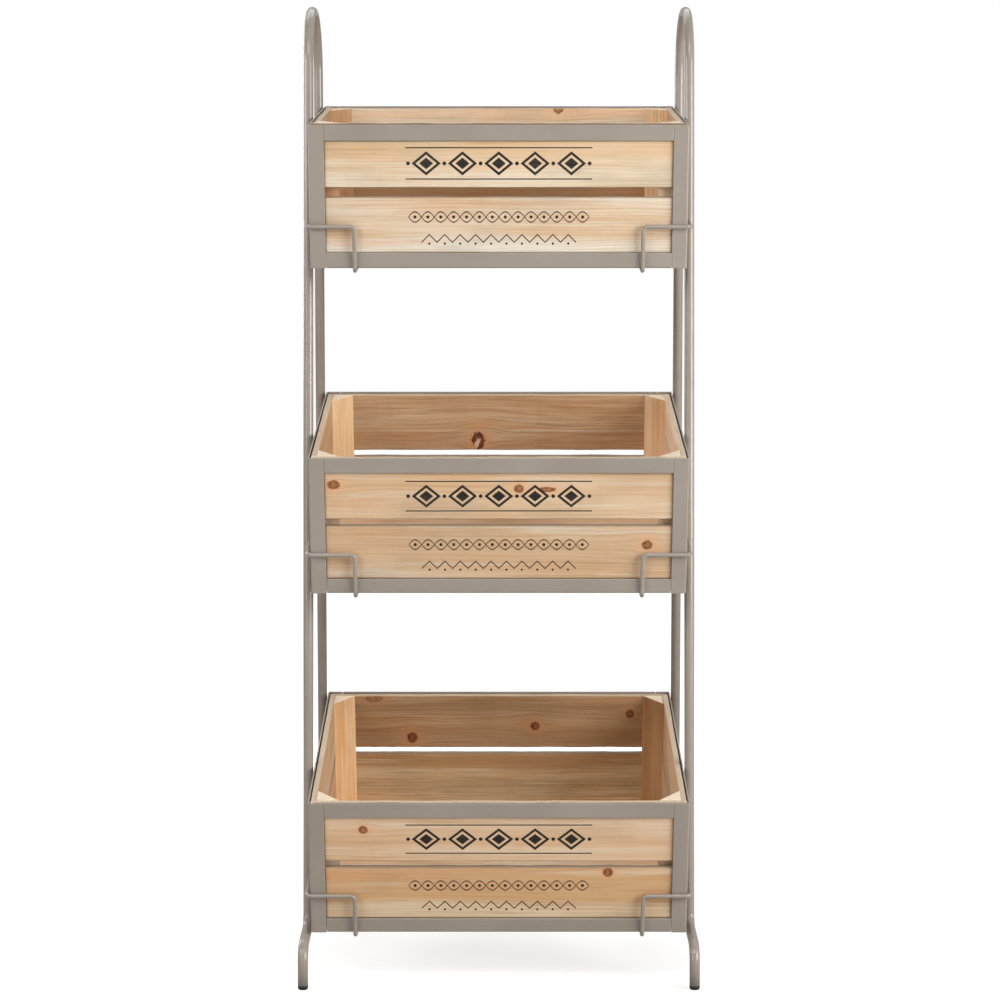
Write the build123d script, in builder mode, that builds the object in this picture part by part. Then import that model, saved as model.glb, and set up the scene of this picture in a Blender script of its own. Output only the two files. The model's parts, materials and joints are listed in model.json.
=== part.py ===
"""Crate storage unit with three tilted timber crates in a bent tube stand, in millimetres.

X runs across the unit, Y from front to back and Z up. The origin is on the floor, under the middle
of the crates. Each crate is drawn in its own tilted frame: x across, y from its front face to its
back face, z up from its underside.
"""

import os
from math import cos, radians, sin, sqrt, tan

from build123d import *

# Crates, outside the steel
crate_width = 440.0
crate_height = 166.0
top_crate_depth = 268.0
mid_crate_depth = 292.0
bottom_crate_depth = 332.0

# How each crate sits: forward tilt in degrees, and the height of its front rim above the floor
top_crate_tilt = 12.0
mid_crate_tilt = 15.5
bottom_crate_tilt = 15.5
top_rim_height = 1000.0
mid_rim_height = 617.0
bottom_rim_height = 220.0

# Steel angle and strip round each crate
strip_width = 18.0
strip_thickness = 1.5
fold_radius = 2.5

# Timber, set in from the steel all round, with each wall's top given from the steel rim
timber_gap = 1.2
board_thickness = 7.0
top_slat_gap = 10.5
mid_slat_gap = 7.5
bottom_slat_gap = 7.5
top_front_rise = 2.0
mid_front_rise = -0.3
bottom_front_rise = 0.3
side_rim_rise = -0.5
back_rim_rise = -2.0
floor_gap = 8.0
top_floor_boards = 4
mid_floor_boards = 4
bottom_floor_boards = 5
post_leg = 25.0

# Brad nails that hold the slats to the corner posts
nail_diameter = 2.0
nail_length = 20.0
nail_clearance = 0.05
nail_inset = 5.0
front_nail_pitch = 36.0
side_nail_pitch = 18.0

# Side frames of bent tube
tube_diameter = 12.0
tube_wall = 1.2
side_clearance = 1.5
loop_radius = 73.0
stand_height = 1164.5
leg_lean = 2.5
stand_setback = 29.0

# Front feet, kicked forward under the crate fronts
foot_reach = 76.0
kick_height = 49.0
kick_rise = 10.0
foot_bend_radius = 20.0

# Foot caps
cap_height = 5.0
cap_plug_length = 14.0
cap_clearance = 0.1
cap_edge_radius = 2.5

# Cradle wires and tie rods
wire_diameter = 5.0
wire_overhang = 10.0
hook_height = 49.0
hook_reach = 52.0
hook_side_clearance = 1.0
seat_clearance = 0.4
tie_rod_diameter = 8.0

# Heights up a crate, from its underside
floor_top = strip_thickness + board_thickness
side_top = crate_height + side_rim_rise
back_top = crate_height + back_rim_rise

# Places across a crate, from its middle
timber_inset = strip_thickness + timber_gap
timber_side = crate_width / 2 - timber_inset
post_side = timber_side - board_thickness
rail_length = crate_width - 2 * strip_width
rail_align = (Align.CENTER, Align.MIN, Align.MIN)
tube_x = crate_width / 2 + side_clearance + tube_diameter / 2
wire_x = crate_width / 2 + hook_side_clearance + wire_diameter / 2
drop_x = crate_width / 2 - hook_reach

# Side frame, in the plane of Y and Z
lean = radians(leg_lean)
loop_height = stand_height - tube_diameter / 2 - loop_radius
wire_drop = seat_clearance + wire_diameter / 2
wire_bend_radius = fold_radius + wire_drop
rod_drop = seat_clearance + wire_diameter + tie_rod_diameter / 2


def leg_y(side, height):
    """Y of the front (-1) or rear (1) leg's centre line at a height above the floor."""
    return stand_setback + side * (loop_radius / cos(lean) + (loop_height - height) * tan(lean))


class Tier:
    """One crate's sizes and its tilted frame, with the crate's middle over the origin."""

    def __init__(self, name, depth, tilt, rim_height, front_rise, slat_gap, floor_boards):
        self.name = name
        self.depth = depth
        self.floor_boards = floor_boards
        front_top = crate_height + front_rise
        self.wall_tops = {"front": front_top, "back": back_top, "left": side_top, "right": side_top}
        self.slat_height = (front_top - floor_top - slat_gap) / 2
        self.slat_starts = {"upper": front_top - self.slat_height, "lower": floor_top}
        self.tilt = radians(tilt)
        rim_y = -(depth * cos(self.tilt) + crate_height * sin(self.tilt)) / 2
        self.front_y = rim_y + crate_height * sin(self.tilt)
        self.front_z = rim_height - crate_height * cos(self.tilt)
        self.frame = Plane(
            origin=(0, self.front_y, self.front_z),
            x_dir=(1, 0, 0),
            z_dir=(0, -sin(self.tilt), cos(self.tilt)),
        )

    def slat_span(self, wall, row):
        """Heights of a slat's lower and upper edge: only the upper ones differ from wall to wall."""
        start = self.slat_starts[row]
        return start, self.wall_tops[wall] if row == "upper" else start + self.slat_height

    def leg_crossing(self, side, height):
        """How far back the front (-1) or rear (1) legs cross the given height in the crate's frame."""
        across = leg_y(side, self.front_z) - self.front_y
        rise = (height + across * sin(self.tilt)) / (cos(self.tilt) + side * tan(lean) * sin(self.tilt))
        return (across - side * rise * tan(lean)) * cos(self.tilt) + rise * sin(self.tilt)


tiers = (
    Tier(
        "top",
        top_crate_depth,
        top_crate_tilt,
        top_rim_height,
        top_front_rise,
        top_slat_gap,
        top_floor_boards,
    ),
    Tier(
        "mid",
        mid_crate_depth,
        mid_crate_tilt,
        mid_rim_height,
        mid_front_rise,
        mid_slat_gap,
        mid_floor_boards,
    ),
    Tier(
        "bottom",
        bottom_crate_depth,
        bottom_crate_tilt,
        bottom_rim_height,
        bottom_front_rise,
        bottom_slat_gap,
        bottom_floor_boards,
    ),
)
sides = {"left": -1, "right": 1}

os.makedirs("parts", exist_ok=True)


def save(piece, name):
    """Label a finished piece and write it to its own file."""
    piece.part.label = name
    export_step(piece.part, f"parts/{name}.step")


# Side frames: a kicked front foot, a front leg, a round loop at the top and a rear leg
front_foot_y = leg_y(-1, kick_height) - foot_reach
kick_top = kick_height + kick_rise
front_tangent = (stand_setback - loop_radius * cos(lean), loop_height + loop_radius * sin(lean))
rear_tangent = (stand_setback + loop_radius * cos(lean), loop_height + loop_radius * sin(lean))
loop_apex = (stand_setback, loop_height + loop_radius)
rear_foot_y = leg_y(1, cap_height)

for side_name, side in sides.items():
    with BuildPart() as side_frame:
        with BuildLine(Plane.YZ.offset(side * tube_x)) as tube_path:
            FilletPolyline(
                (front_foot_y, cap_height),
                (front_foot_y, kick_height),
                (leg_y(-1, kick_top), kick_top),
                front_tangent,
                radius=foot_bend_radius,
            )
            ThreePointArc(front_tangent, loop_apex, rear_tangent)
            Line(rear_tangent, (rear_foot_y, cap_height))
        with BuildSketch(tube_path.line ^ 0):
            Circle(tube_diameter / 2)
            Circle(tube_diameter / 2 - tube_wall, mode=Mode.SUBTRACT)
        sweep(path=tube_path.line)
    save(side_frame, f"{side_name}_side_frame")

# Foot caps: a plug inside the tube and a rounded tread cut level with the floor
cap_plug_radius = tube_diameter / 2 - tube_wall - cap_clearance
rear_foot_axis = (0, -sin(lean), cos(lean))

for side_name, side in sides.items():
    foot_frames = {
        "front": Plane((side * tube_x, front_foot_y, cap_height), x_dir=(1, 0, 0), z_dir=(0, 0, 1)),
        "rear": Plane((side * tube_x, rear_foot_y, cap_height), x_dir=(1, 0, 0), z_dir=rear_foot_axis),
    }
    for foot_name, foot_frame in foot_frames.items():
        with BuildPart(foot_frame) as foot_cap:
            Cylinder(cap_plug_radius, cap_plug_length, align=(Align.CENTER, Align.CENTER, Align.MIN))
            Cylinder(tube_diameter / 2, 2 * cap_height, align=(Align.CENTER, Align.CENTER, Align.MAX))
            split(bisect_by=Plane.XY, keep=Keep.TOP)
            tread = foot_cap.faces().sort_by(Axis.Z)[0]
            fillet(tread.edges(), cap_edge_radius)
        save(foot_cap, f"{foot_name}_{side_name}_foot_cap")

# Cradle wires: forward from the front leg, in across the crate front, down it, and back underneath.
# Each is set in from the leg's middle, so it meets the tube where the wire's outer side comes to it.
wire_aside = max(0, tube_x - wire_x - wire_diameter / 2)
seat_depth = sqrt((tube_diameter / 2) ** 2 - wire_aside**2)

for tier in tiers:
    leg_slant = tier.tilt + lean
    leg_front = tier.leg_crossing(-1, hook_height) - seat_depth / cos(leg_slant)
    wire_start = leg_front - wire_diameter / 2 * tan(leg_slant)
    wire_end = tier.leg_crossing(1, -rod_drop) + tie_rod_diameter / 2 + wire_overhang
    for side_name, side in sides.items():
        with BuildPart() as cradle_wire:
            with BuildLine(tier.frame) as wire_path:
                FilletPolyline(
                    (side * wire_x, wire_start, hook_height),
                    (side * wire_x, -wire_drop, hook_height),
                    (side * drop_x, -wire_drop, hook_height),
                    (side * drop_x, -wire_drop, -wire_drop),
                    (side * drop_x, wire_end, -wire_drop),
                    radius=wire_bend_radius,
                )
            with BuildSketch(wire_path.line ^ 0):
                Circle(wire_diameter / 2)
            sweep(path=wire_path.line)
        save(cradle_wire, f"{tier.name}_{side_name}_cradle_wire")

# Tie rods: one under the back of each crate between the rear legs, one low down between the front legs
rod_length = 2 * tube_x - tube_diameter


def make_tie_rod(tier, side, name):
    """A round rod that spans the front (-1) or rear (1) legs just under a crate's cradle wires."""
    with BuildPart(tier.frame) as tie_rod:
        with Locations(Location((0, tier.leg_crossing(side, -rod_drop), -rod_drop), (0, 90, 0))):
            Cylinder(tie_rod_diameter / 2, rod_length)
    save(tie_rod, name)


for tier in tiers:
    make_tie_rod(tier, 1, f"{tier.name}_rear_tie_rod")
make_tie_rod(tiers[-1], -1, "bottom_front_tie_rod")


def make_steel(tier):
    """The welded steel round one crate: corner angles with strip and angle rails butted between them."""
    side_length = tier.depth - 2 * strip_width
    rim_strip_middle = crate_height - strip_width / 2
    middle_y = tier.depth / 2

    with BuildPart(tier.frame) as corner_angles:
        with BuildSketch(tier.frame):
            with Locations((0, middle_y)):
                RectangleRounded(crate_width, tier.depth, fold_radius)
                Rectangle(
                    crate_width - 2 * strip_thickness,
                    tier.depth - 2 * strip_thickness,
                    mode=Mode.SUBTRACT,
                )
                Rectangle(rail_length, tier.depth, mode=Mode.SUBTRACT)
                Rectangle(crate_width, side_length, mode=Mode.SUBTRACT)
        extrude(amount=crate_height)
    save(corner_angles, f"{tier.name}_crate_corner_angles")

    def angle_rail(rail, place, length, turn):
        """An angle rail with a rounded fold: an upright strip and a ledge that carries the floor."""
        with Locations(Location(place, (0, 0, turn))):
            Box(length, strip_thickness, strip_width, align=rail_align)
            Box(length, strip_width, strip_thickness, align=rail_align)
        inward = Vector(0, 1, 1).rotate(Axis.Z, turn)
        fold_axis = Axis(tier.frame.origin, tier.frame.from_local_coords(inward) - tier.frame.origin)
        fillet(rail.edges(Select.LAST).sort_by(fold_axis)[0], fold_radius)

    with BuildPart(tier.frame) as front_bottom_rail:
        angle_rail(front_bottom_rail, (0, 0, 0), rail_length, 0)
    save(front_bottom_rail, f"{tier.name}_crate_front_bottom_rail")

    with BuildPart(tier.frame) as front_top_rail:
        with Locations((0, strip_thickness / 2, rim_strip_middle)):
            Box(rail_length, strip_thickness, strip_width)
    save(front_top_rail, f"{tier.name}_crate_front_top_rail")

    with BuildPart(tier.frame) as back_rails:
        angle_rail(back_rails, (0, tier.depth, 0), rail_length, 180)
        with Locations((0, tier.depth - strip_thickness / 2, rim_strip_middle)):
            Box(rail_length, strip_thickness, strip_width)
    save(back_rails, f"{tier.name}_crate_back_rails")

    with BuildPart(tier.frame) as side_rails:
        for side in sides.values():
            angle_rail(side_rails, (side * crate_width / 2, middle_y, 0), side_length, side * 90)
            with Locations((side * (crate_width - strip_thickness) / 2, middle_y, rim_strip_middle)):
                Box(strip_thickness, side_length, strip_width)
    save(side_rails, f"{tier.name}_crate_side_rails")


def nail_places(tier, row):
    """Where the nails of one row of slats go in, by wall, each with its axis turned into the post."""
    middle = tier.slat_starts[row] + tier.slat_height / 2
    end_x = post_side - nail_inset
    near_y = timber_inset + board_thickness + nail_inset
    back_y = tier.depth - timber_inset
    places = {"front": [], "back": [], "left": [], "right": []}
    for up in (-1, 1):
        front_z = middle + up * front_nail_pitch / 2
        side_z = middle + up * side_nail_pitch / 2
        for end in (-1, 1):
            places["front"].append(Location((end * end_x, timber_inset, front_z), (-90, 0, 0)))
            places["back"].append(Location((end * end_x, back_y, front_z), (90, 0, 0)))
        for y in (near_y, tier.depth - near_y):
            places["left"].append(Location((-timber_side, y, side_z), (0, 90, 0)))
            places["right"].append(Location((timber_side, y, side_z), (0, -90, 0)))
    return places


def nail_holes(places):
    """Cut the holes for nails at the given places in the piece being built."""
    with Locations(*places):
        Cylinder(
            nail_diameter / 2 + nail_clearance,
            nail_length,
            align=(Align.CENTER, Align.CENTER, Align.MIN),
            mode=Mode.SUBTRACT,
        )


def make_timber(tier):
    """The timber box of one crate: slats nailed to corner posts, standing on floor boards."""
    wall_ys = {"front": timber_inset, "back": tier.depth - timber_inset - board_thickness}
    places = {row: nail_places(tier, row) for row in tier.slat_starts}
    all_places = [place for walls in places.values() for wall in walls.values() for place in wall]

    for wall, wall_y in wall_ys.items():
        for row in tier.slat_starts:
            low, high = tier.slat_span(wall, row)
            with BuildPart(tier.frame) as slat:
                with Locations((0, wall_y + board_thickness / 2, (low + high) / 2)):
                    Box(2 * timber_side, board_thickness, high - low)
                nail_holes(places[row][wall])
            save(slat, f"{tier.name}_crate_{wall}_{row}_slat")

    inner_y = timber_inset + board_thickness
    inner_depth = tier.depth - 2 * inner_y
    for side_name, side in sides.items():
        with BuildPart(tier.frame) as side_slats:
            for row in tier.slat_starts:
                low, high = tier.slat_span(side_name, row)
                with Locations((side * (timber_side + post_side) / 2, tier.depth / 2, (low + high) / 2)):
                    Box(board_thickness, inner_depth, high - low)
                nail_holes(places[row][side_name])
        save(side_slats, f"{tier.name}_crate_{side_name}_slats")

    with BuildPart(tier.frame) as corner_posts:
        for wall, corner_y, back in (("front", inner_y, 1), ("back", tier.depth - inner_y, -1)):
            with BuildSketch(tier.frame.offset(floor_top)):
                for side in sides.values():
                    with BuildLine():
                        Polyline(
                            (side * post_side, corner_y),
                            (side * (post_side - post_leg), corner_y),
                            (side * post_side, corner_y + back * post_leg),
                            close=True,
                        )
                    make_face()
            extrude(amount=tier.wall_tops[wall] - floor_top)
        nail_holes(all_places)
    save(corner_posts, f"{tier.name}_crate_corner_posts")

    floor_depth = tier.depth - 2 * timber_inset
    board_width = (floor_depth - (tier.floor_boards - 1) * floor_gap) / tier.floor_boards
    with BuildPart(tier.frame) as floor_boards:
        with Locations((0, tier.depth / 2, strip_thickness + board_thickness / 2)):
            with GridLocations(0, board_width + floor_gap, 1, tier.floor_boards):
                Box(2 * timber_side, board_width, board_thickness)
    save(floor_boards, f"{tier.name}_crate_floor_boards")

    with BuildPart(tier.frame) as nails:
        with Locations(*all_places):
            Cylinder(nail_diameter / 2, nail_length, align=(Align.CENTER, Align.CENTER, Align.MIN))
    save(nails, f"{tier.name}_crate_nails")


for tier in tiers:
    make_steel(tier)
    make_timber(tier)
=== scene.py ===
"""Looks of the crate storage unit: coated steel, pine boards with a plain print, black foot plugs.

Everything is in metres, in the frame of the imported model: X across, Y from front to back, Z up. Each crate
also has its own tilted frame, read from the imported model: x across, y from front to back, z up from the
crate's underside.
"""

import json
from math import atan2, cos, pi, radians, sin, tan
from typing import NamedTuple

import bpy
import numpy as np
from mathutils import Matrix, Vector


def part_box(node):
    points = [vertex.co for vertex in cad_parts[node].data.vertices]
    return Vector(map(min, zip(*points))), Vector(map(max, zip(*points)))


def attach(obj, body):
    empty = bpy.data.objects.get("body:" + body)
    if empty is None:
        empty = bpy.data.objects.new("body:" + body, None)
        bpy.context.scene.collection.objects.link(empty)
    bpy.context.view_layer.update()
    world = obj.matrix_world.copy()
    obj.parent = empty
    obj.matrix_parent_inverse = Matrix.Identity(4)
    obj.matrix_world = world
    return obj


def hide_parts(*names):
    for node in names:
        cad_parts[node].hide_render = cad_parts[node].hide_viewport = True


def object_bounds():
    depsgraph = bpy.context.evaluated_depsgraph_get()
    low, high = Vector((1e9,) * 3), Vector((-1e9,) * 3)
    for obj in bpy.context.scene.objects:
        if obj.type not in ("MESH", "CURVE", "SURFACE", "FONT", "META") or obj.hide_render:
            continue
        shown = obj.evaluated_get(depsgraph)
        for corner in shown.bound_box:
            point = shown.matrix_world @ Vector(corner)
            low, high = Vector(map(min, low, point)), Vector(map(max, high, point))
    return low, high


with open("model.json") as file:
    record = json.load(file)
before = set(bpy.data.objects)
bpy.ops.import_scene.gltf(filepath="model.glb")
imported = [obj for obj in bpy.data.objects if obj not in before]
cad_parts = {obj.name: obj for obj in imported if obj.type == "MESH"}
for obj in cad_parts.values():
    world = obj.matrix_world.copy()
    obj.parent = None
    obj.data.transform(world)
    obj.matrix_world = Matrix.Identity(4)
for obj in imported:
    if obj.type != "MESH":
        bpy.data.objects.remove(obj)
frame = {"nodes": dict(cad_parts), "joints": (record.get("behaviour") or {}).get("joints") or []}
cad_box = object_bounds()

mm = 0.001

# Stand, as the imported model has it
wire_radius = 2.5 * mm
rod_radius = 4 * mm
loop_radius = 73 * mm
leg_lean = radians(2.5)
stand_setback = 29 * mm
kick_height = 49 * mm
kick_rise = 10 * mm
foot_bend_radius = 20 * mm
hook_height = 49 * mm
hook_reach = 52 * mm
hook_side_clearance = 1 * mm
seat_clearance = 0.4 * mm
wire_overhang = 10 * mm
cap_height = 5 * mm
cap_edge_radius = 2.5 * mm

# Crates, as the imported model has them
fold_radius = 2.5 * mm
post_leg = 25 * mm

# Small shapes of the stand that only the looks have
bend_flattening = 0.1
dome_turn = radians(84.6)
wire_start_ahead = 1.5 * mm
weld_reach = 3.2 * mm
weld_swell = 0.6
weld_overlap = 1 * mm
weld_ripple = 0.05
weld_ripples = 9

# How a foot plug is drawn in where it meets its tube: depth under the tube's end, and inward from its face
plug_seam = np.array([(0.5, 0), (0.25, 0.25), (0, 0.4)]) * mm

# Small shapes of the crates that only the looks have
seam_gap = 0.3 * mm
steel_edge = 0.4 * mm
worn_margin = 1.2 * mm
board_edge = 1.1 * mm
least_edge = 0.1 * mm
board_step = 6 * mm
post_edge = 0.25 * mm
post_end_edge = 0.8 * mm

# How a sawn board strays from true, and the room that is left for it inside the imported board
stray_length, stray_swing = 60 * mm, 0.16 * mm
chatter_length, chatter_swing = 9 * mm, 0.05 * mm
edge_wave_length = 30 * mm
bow_swing = 0.12 * mm
width_room = 0.2 * mm
thickness_room = 0.1 * mm

# Where a board's colour starts to change and where it has changed, inside its edges, gap, face and window.
# At the gap and along the window the change is painted shade.
edge_fade = -0.9 * mm, -0.5 * mm
gap_fade = -1.6 * mm, -0.4 * mm
face_fade = -0.7 * mm, -0.3 * mm
# Where the painted shadow line along the steel's window fades in, and how far it sways
seam_shadow_fade = -2.2 * mm, 0.0
seam_shadow_sway = 0.8 * mm

# How far the pith line wanders along a board, and how far it lies apart from board to board
pith_wander = 22 * mm
pith_spread = 40 * mm

sides = {"left": -1, "right": 1}


class Tier:
    """A crate's own tilted frame, worked out from its lift joint and the box round its corner angles."""

    def __init__(self, name):
        self.name = name
        self.body = f"{name}_crate"
        axis = next(joint["axis"] for joint in frame["joints"] if joint["child"] == self.body)
        self.tilt = atan2(-axis[1], axis[2])
        self.cos, self.sin = cos(self.tilt), sin(self.tilt)
        low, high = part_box(f"{self.body}_corner_angles")
        reach = high - low
        self.width = reach.x
        self.depth = (reach.y * self.cos - reach.z * self.sin) / cos(2 * self.tilt)
        self.height = (reach.z * self.cos - reach.y * self.sin) / cos(2 * self.tilt)
        self.front_y = low.y + self.height * self.sin
        self.front_z = low.z

    def place(self, points):
        """Crate points in the unit's frame: tilted forward, then moved to the crate's front edge."""
        x, y, z = np.moveaxis(points, -1, 0)
        back = self.front_y + y * self.cos - z * self.sin
        up = self.front_z + y * self.sin + z * self.cos
        return np.stack([x, back, up], -1)

    def points(self, node):
        """The corners of one of the crate's nodes in the crate's frame, as rows of x, y and z."""
        mesh = frame["nodes"][f"{self.body}_{node}"].data
        corners = np.empty(len(mesh.vertices) * 3, np.float32)
        mesh.vertices.foreach_get("co", corners)
        x, y, z = corners.reshape(-1, 3).T
        y, z = y - self.front_y, z - self.front_z
        return np.stack([x, y * self.cos + z * self.sin, z * self.cos - y * self.sin])

    def box(self, node):
        """Lowest and highest corner of one of the crate's nodes, in the crate's frame."""
        points = self.points(node)
        return points.min(1), points.max(1)

    def leg_crossing(self, side, height):
        """How far back the front (-1) or rear (1) legs cross the given height in the crate's frame."""
        across = leg_y(side, self.front_z) - self.front_y
        rise = (height + across * self.sin) / (self.cos + side * tan(leg_lean) * self.sin)
        return (across - side * rise * tan(leg_lean)) * self.cos + rise * self.sin


tube_low, tube_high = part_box("right_side_frame")
tube_radius = (tube_high.x - tube_low.x) / 2
tube_x = (tube_high.x + tube_low.x) / 2
loop_height = cad_box[1].z - tube_radius - loop_radius
cap_low, cap_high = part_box("front_right_foot_cap")
front_foot_y = (cap_low.y + cap_high.y) / 2


def leg_y(side, height):
    """Y of the front (-1) or rear (1) leg's centre line at a height above the floor."""
    return stand_setback + side * (loop_radius / cos(leg_lean) + (loop_height - height) * tan(leg_lean))


tiers = [Tier(name) for name in ("top", "mid", "bottom")]
rail_low, rail_high = tiers[0].box("front_top_rail")
strip_thickness = rail_high[1] - rail_low[1]
strip_width = rail_high[2] - rail_low[2]


class Field:
    """A value that varies over a surface: a shader socket on which arithmetic adds Math nodes."""

    def __init__(self, finish, socket):
        self.finish = finish
        self.socket = socket

    def math(self, operation, *values):
        return self.finish.node("ShaderNodeMath", {"operation": operation}, dict(enumerate(values)))

    def __add__(self, other):
        return self.math("ADD", self, other)

    def __sub__(self, other):
        return self.math("SUBTRACT", self, other)

    def __rsub__(self, other):
        return self.math("SUBTRACT", other, self)

    def __mul__(self, other):
        return self.math("MULTIPLY", self, other)

    def __truediv__(self, other):
        return self.math("DIVIDE", self, other)

    def __rtruediv__(self, other):
        return self.math("DIVIDE", other, self)

    def __pow__(self, other):
        return self.math("POWER", self, other)

    def __abs__(self):
        return self.math("ABSOLUTE", self)

    def or_more(self, other):
        return self.math("MAXIMUM", self, other)

    def or_less(self, other):
        return self.math("MINIMUM", self, other)

    def fraction(self):
        return self.math("FRACT", self)

    def sine(self):
        return self.math("SINE", self)

    def ping_pong(self, reach):
        return self.math("PINGPONG", self, reach)

    __radd__ = __add__
    __rmul__ = __mul__


class Network:
    """A node tree in the making: its shader, and one method that adds every node."""

    def __init__(self, tree, shader, uniform):
        self.tree = tree
        self.shader = tree.nodes[shader]
        for socket, value in uniform.items():
            self.shader.inputs[socket].default_value = value

    def node(self, kind, settings, inputs, output=0):
        """Add a node: its settings first, then the values or links of its sockets. What comes back is one
        output, or several where their names are given."""
        added = self.tree.nodes.new(kind)
        for key, value in settings.items():
            setattr(added, key, value)
        for key, value in inputs.items():
            if isinstance(value, Field):
                self.tree.links.new(value.socket, added.inputs[key])
            else:
                added.inputs[key].default_value = value
        if isinstance(output, tuple):
            return [Field(self, added.outputs[name]) for name in output]
        return Field(self, added.outputs[output])

    def feed(self, fields):
        """Link fields to the shader's sockets."""
        for socket, field in fields.items():
            self.tree.links.new(field.socket, self.shader.inputs[socket])

    def attribute(self, name, output="Fac"):
        return self.node("ShaderNodeAttribute", {"attribute_name": name}, {}, output)

    def parts(self, name):
        """The three numbers of a vector attribute."""
        return self.node("ShaderNodeSeparateXYZ", {}, {0: self.attribute(name, "Vector")}, ("X", "Y", "Z"))

    def join(self, x, y, z):
        return self.node("ShaderNodeCombineXYZ", {}, {0: x, 1: y, 2: z})

    def noise(self, vector, scale, detail=2.0, roughness=0.5):
        inputs = {"Vector": vector, "Scale": scale, "Detail": detail, "Roughness": roughness}
        return self.node("ShaderNodeTexNoise", {}, inputs)

    def rise(self, value, low, high):
        """A smooth step from 0 at the low value to 1 at the high one."""
        settings = {"interpolation_type": "SMOOTHSTEP"}
        return self.node("ShaderNodeMapRange", settings, {0: value, 1: low, 2: high})

    def mix(self, first, second, factor, blend="MIX"):
        """The first colour where the factor is 0, and where it is 1 the second, or their product."""
        settings = {"data_type": "RGBA", "blend_type": blend}
        return self.node("ShaderNodeMix", settings, {0: factor, 6: first, 7: second}, 2)

    def bump(self, height, distance, strength=1.0):
        inputs = {"Height": height, "Distance": distance, "Strength": strength}
        return self.node("ShaderNodeBump", {}, inputs)


class Finish(Network):
    """A material in the making."""

    def __init__(self, name, uniform):
        self.material = bpy.data.materials.new(name)
        self.material.use_nodes = True
        super().__init__(self.material.node_tree, "Principled BSDF", uniform)

    def place(self):
        """Each point's place in the unit."""
        return self.node("ShaderNodeTexCoord", {}, {}, "Object")


def srgb(red, green, blue):
    """A colour written as a screen shows it, in the linear values that shaders take."""
    screen = np.array([red, green, blue]) / 255
    linear = np.where(screen <= 0.04045, screen / 12.92, ((screen + 0.055) / 1.055) ** 2.4)
    return (*linear.tolist(), 1.0)


coat_tone = srgb(160, 150, 140)
coat_shade = srgb(150, 140, 129)
coat_scuff = srgb(186, 178, 168)
rubber_tone = srgb(13, 13, 12)
rubber_dust = srgb(26, 25, 23)
nail_tone = srgb(150, 148, 144)
nail_dull = srgb(104, 100, 94)
early_wood = srgb(222, 201, 174)
warm_wood = srgb(209, 170, 129)
late_wood = srgb(178, 132, 91)
sap_wood = srgb(224, 212, 192)
flush_wood = srgb(219, 166, 124)
grey_wood = srgb(160, 138, 110)
weathered_wood = srgb(126, 108, 84)
sawn_wood = srgb(214, 196, 172)
# Pale end grain, which is also a painted highlight for the light falling on the post tops from above
end_wood_and_highlight = srgb(253, 238, 214)
knot_wood = srgb(158, 99, 50)
knot_shade = srgb(92, 50, 24)
torn_wood = srgb(230, 196, 168)
# Painted shade: the dark of the edge along the slat gap and of the shadow line along the steel's window
painted_shade_tone = srgb(92, 70, 50)
ink_tone = srgb(18, 14, 11)


def powder_coat(name, roughness):
    """Satin taupe powder coat: cloudy tone, fine speckle, orange-peel bumps, and scuffs on worn edges."""
    coat = Finish(name, {"IOR": 1.5})
    place = coat.place()
    cloud = coat.noise(place, 9.0, 3.0)
    speckle = coat.noise(place, 1400.0, 1.0)
    peel = coat.noise(place, 520.0, 2.0, 0.4)
    smear = coat.noise(place, 38.0, 4.0, 0.6)
    edge = coat.attribute("edge")
    scuff = coat.rise(edge + smear * 0.9, 1.02, 1.5) * 0.5
    tone = coat.mix(coat_tone, coat_shade, coat.rise(cloud * 0.7 + speckle * 0.3, 0.3, 0.7))
    coat.feed({
        "Base Color": coat.mix(tone, coat_scuff, scuff),
        "Roughness": roughness + smear * 0.06 + speckle * 0.04,
        "Normal": coat.bump(peel * 0.8 + speckle * 0.2, 0.05 * mm),
    })
    return coat.material


def foot_rubber():
    """Black moulded plastic with a fine grain, dusty where it stands on the floor."""
    dust_height = 3 * mm
    rubber = Finish("foot_rubber", {})
    place = rubber.place()
    grain = rubber.noise(place, 2600.0, 2.0)
    cloud = rubber.noise(place, 240.0, 3.0)
    height = rubber.node("ShaderNodeSeparateXYZ", {}, {0: place}, "Z")
    dust = rubber.rise(cloud - height / dust_height * 0.35, 0.35, 0.75)
    rubber.feed({
        "Base Color": rubber.mix(rubber_tone, rubber_dust, dust),
        "Roughness": 0.5 + grain * 0.2,
        "Normal": rubber.bump(grain, 0.06 * mm),
    })
    return rubber.material


def nail_steel():
    """Bright drawn wire, dulled in blotches."""
    steel = Finish("nail_steel", {"Metallic": 1.0})
    place = steel.place()
    blotch = steel.noise(place, 700.0, 3.0)
    scratch = steel.noise(place, 4200.0, 1.0)
    steel.feed({
        "Base Color": steel.mix(nail_tone, nail_dull, steel.rise(blotch, 0.4, 0.65)),
        "Roughness": 0.28 + blotch * 0.2,
        "Normal": steel.bump(scratch, 0.02 * mm),
    })
    return steel.material


def stroke(wood, distance, reach, fade):
    """Ink up to the reach, which fades out over the last stretch of it."""
    return wood.rise(distance, reach, reach - fade)


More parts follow.
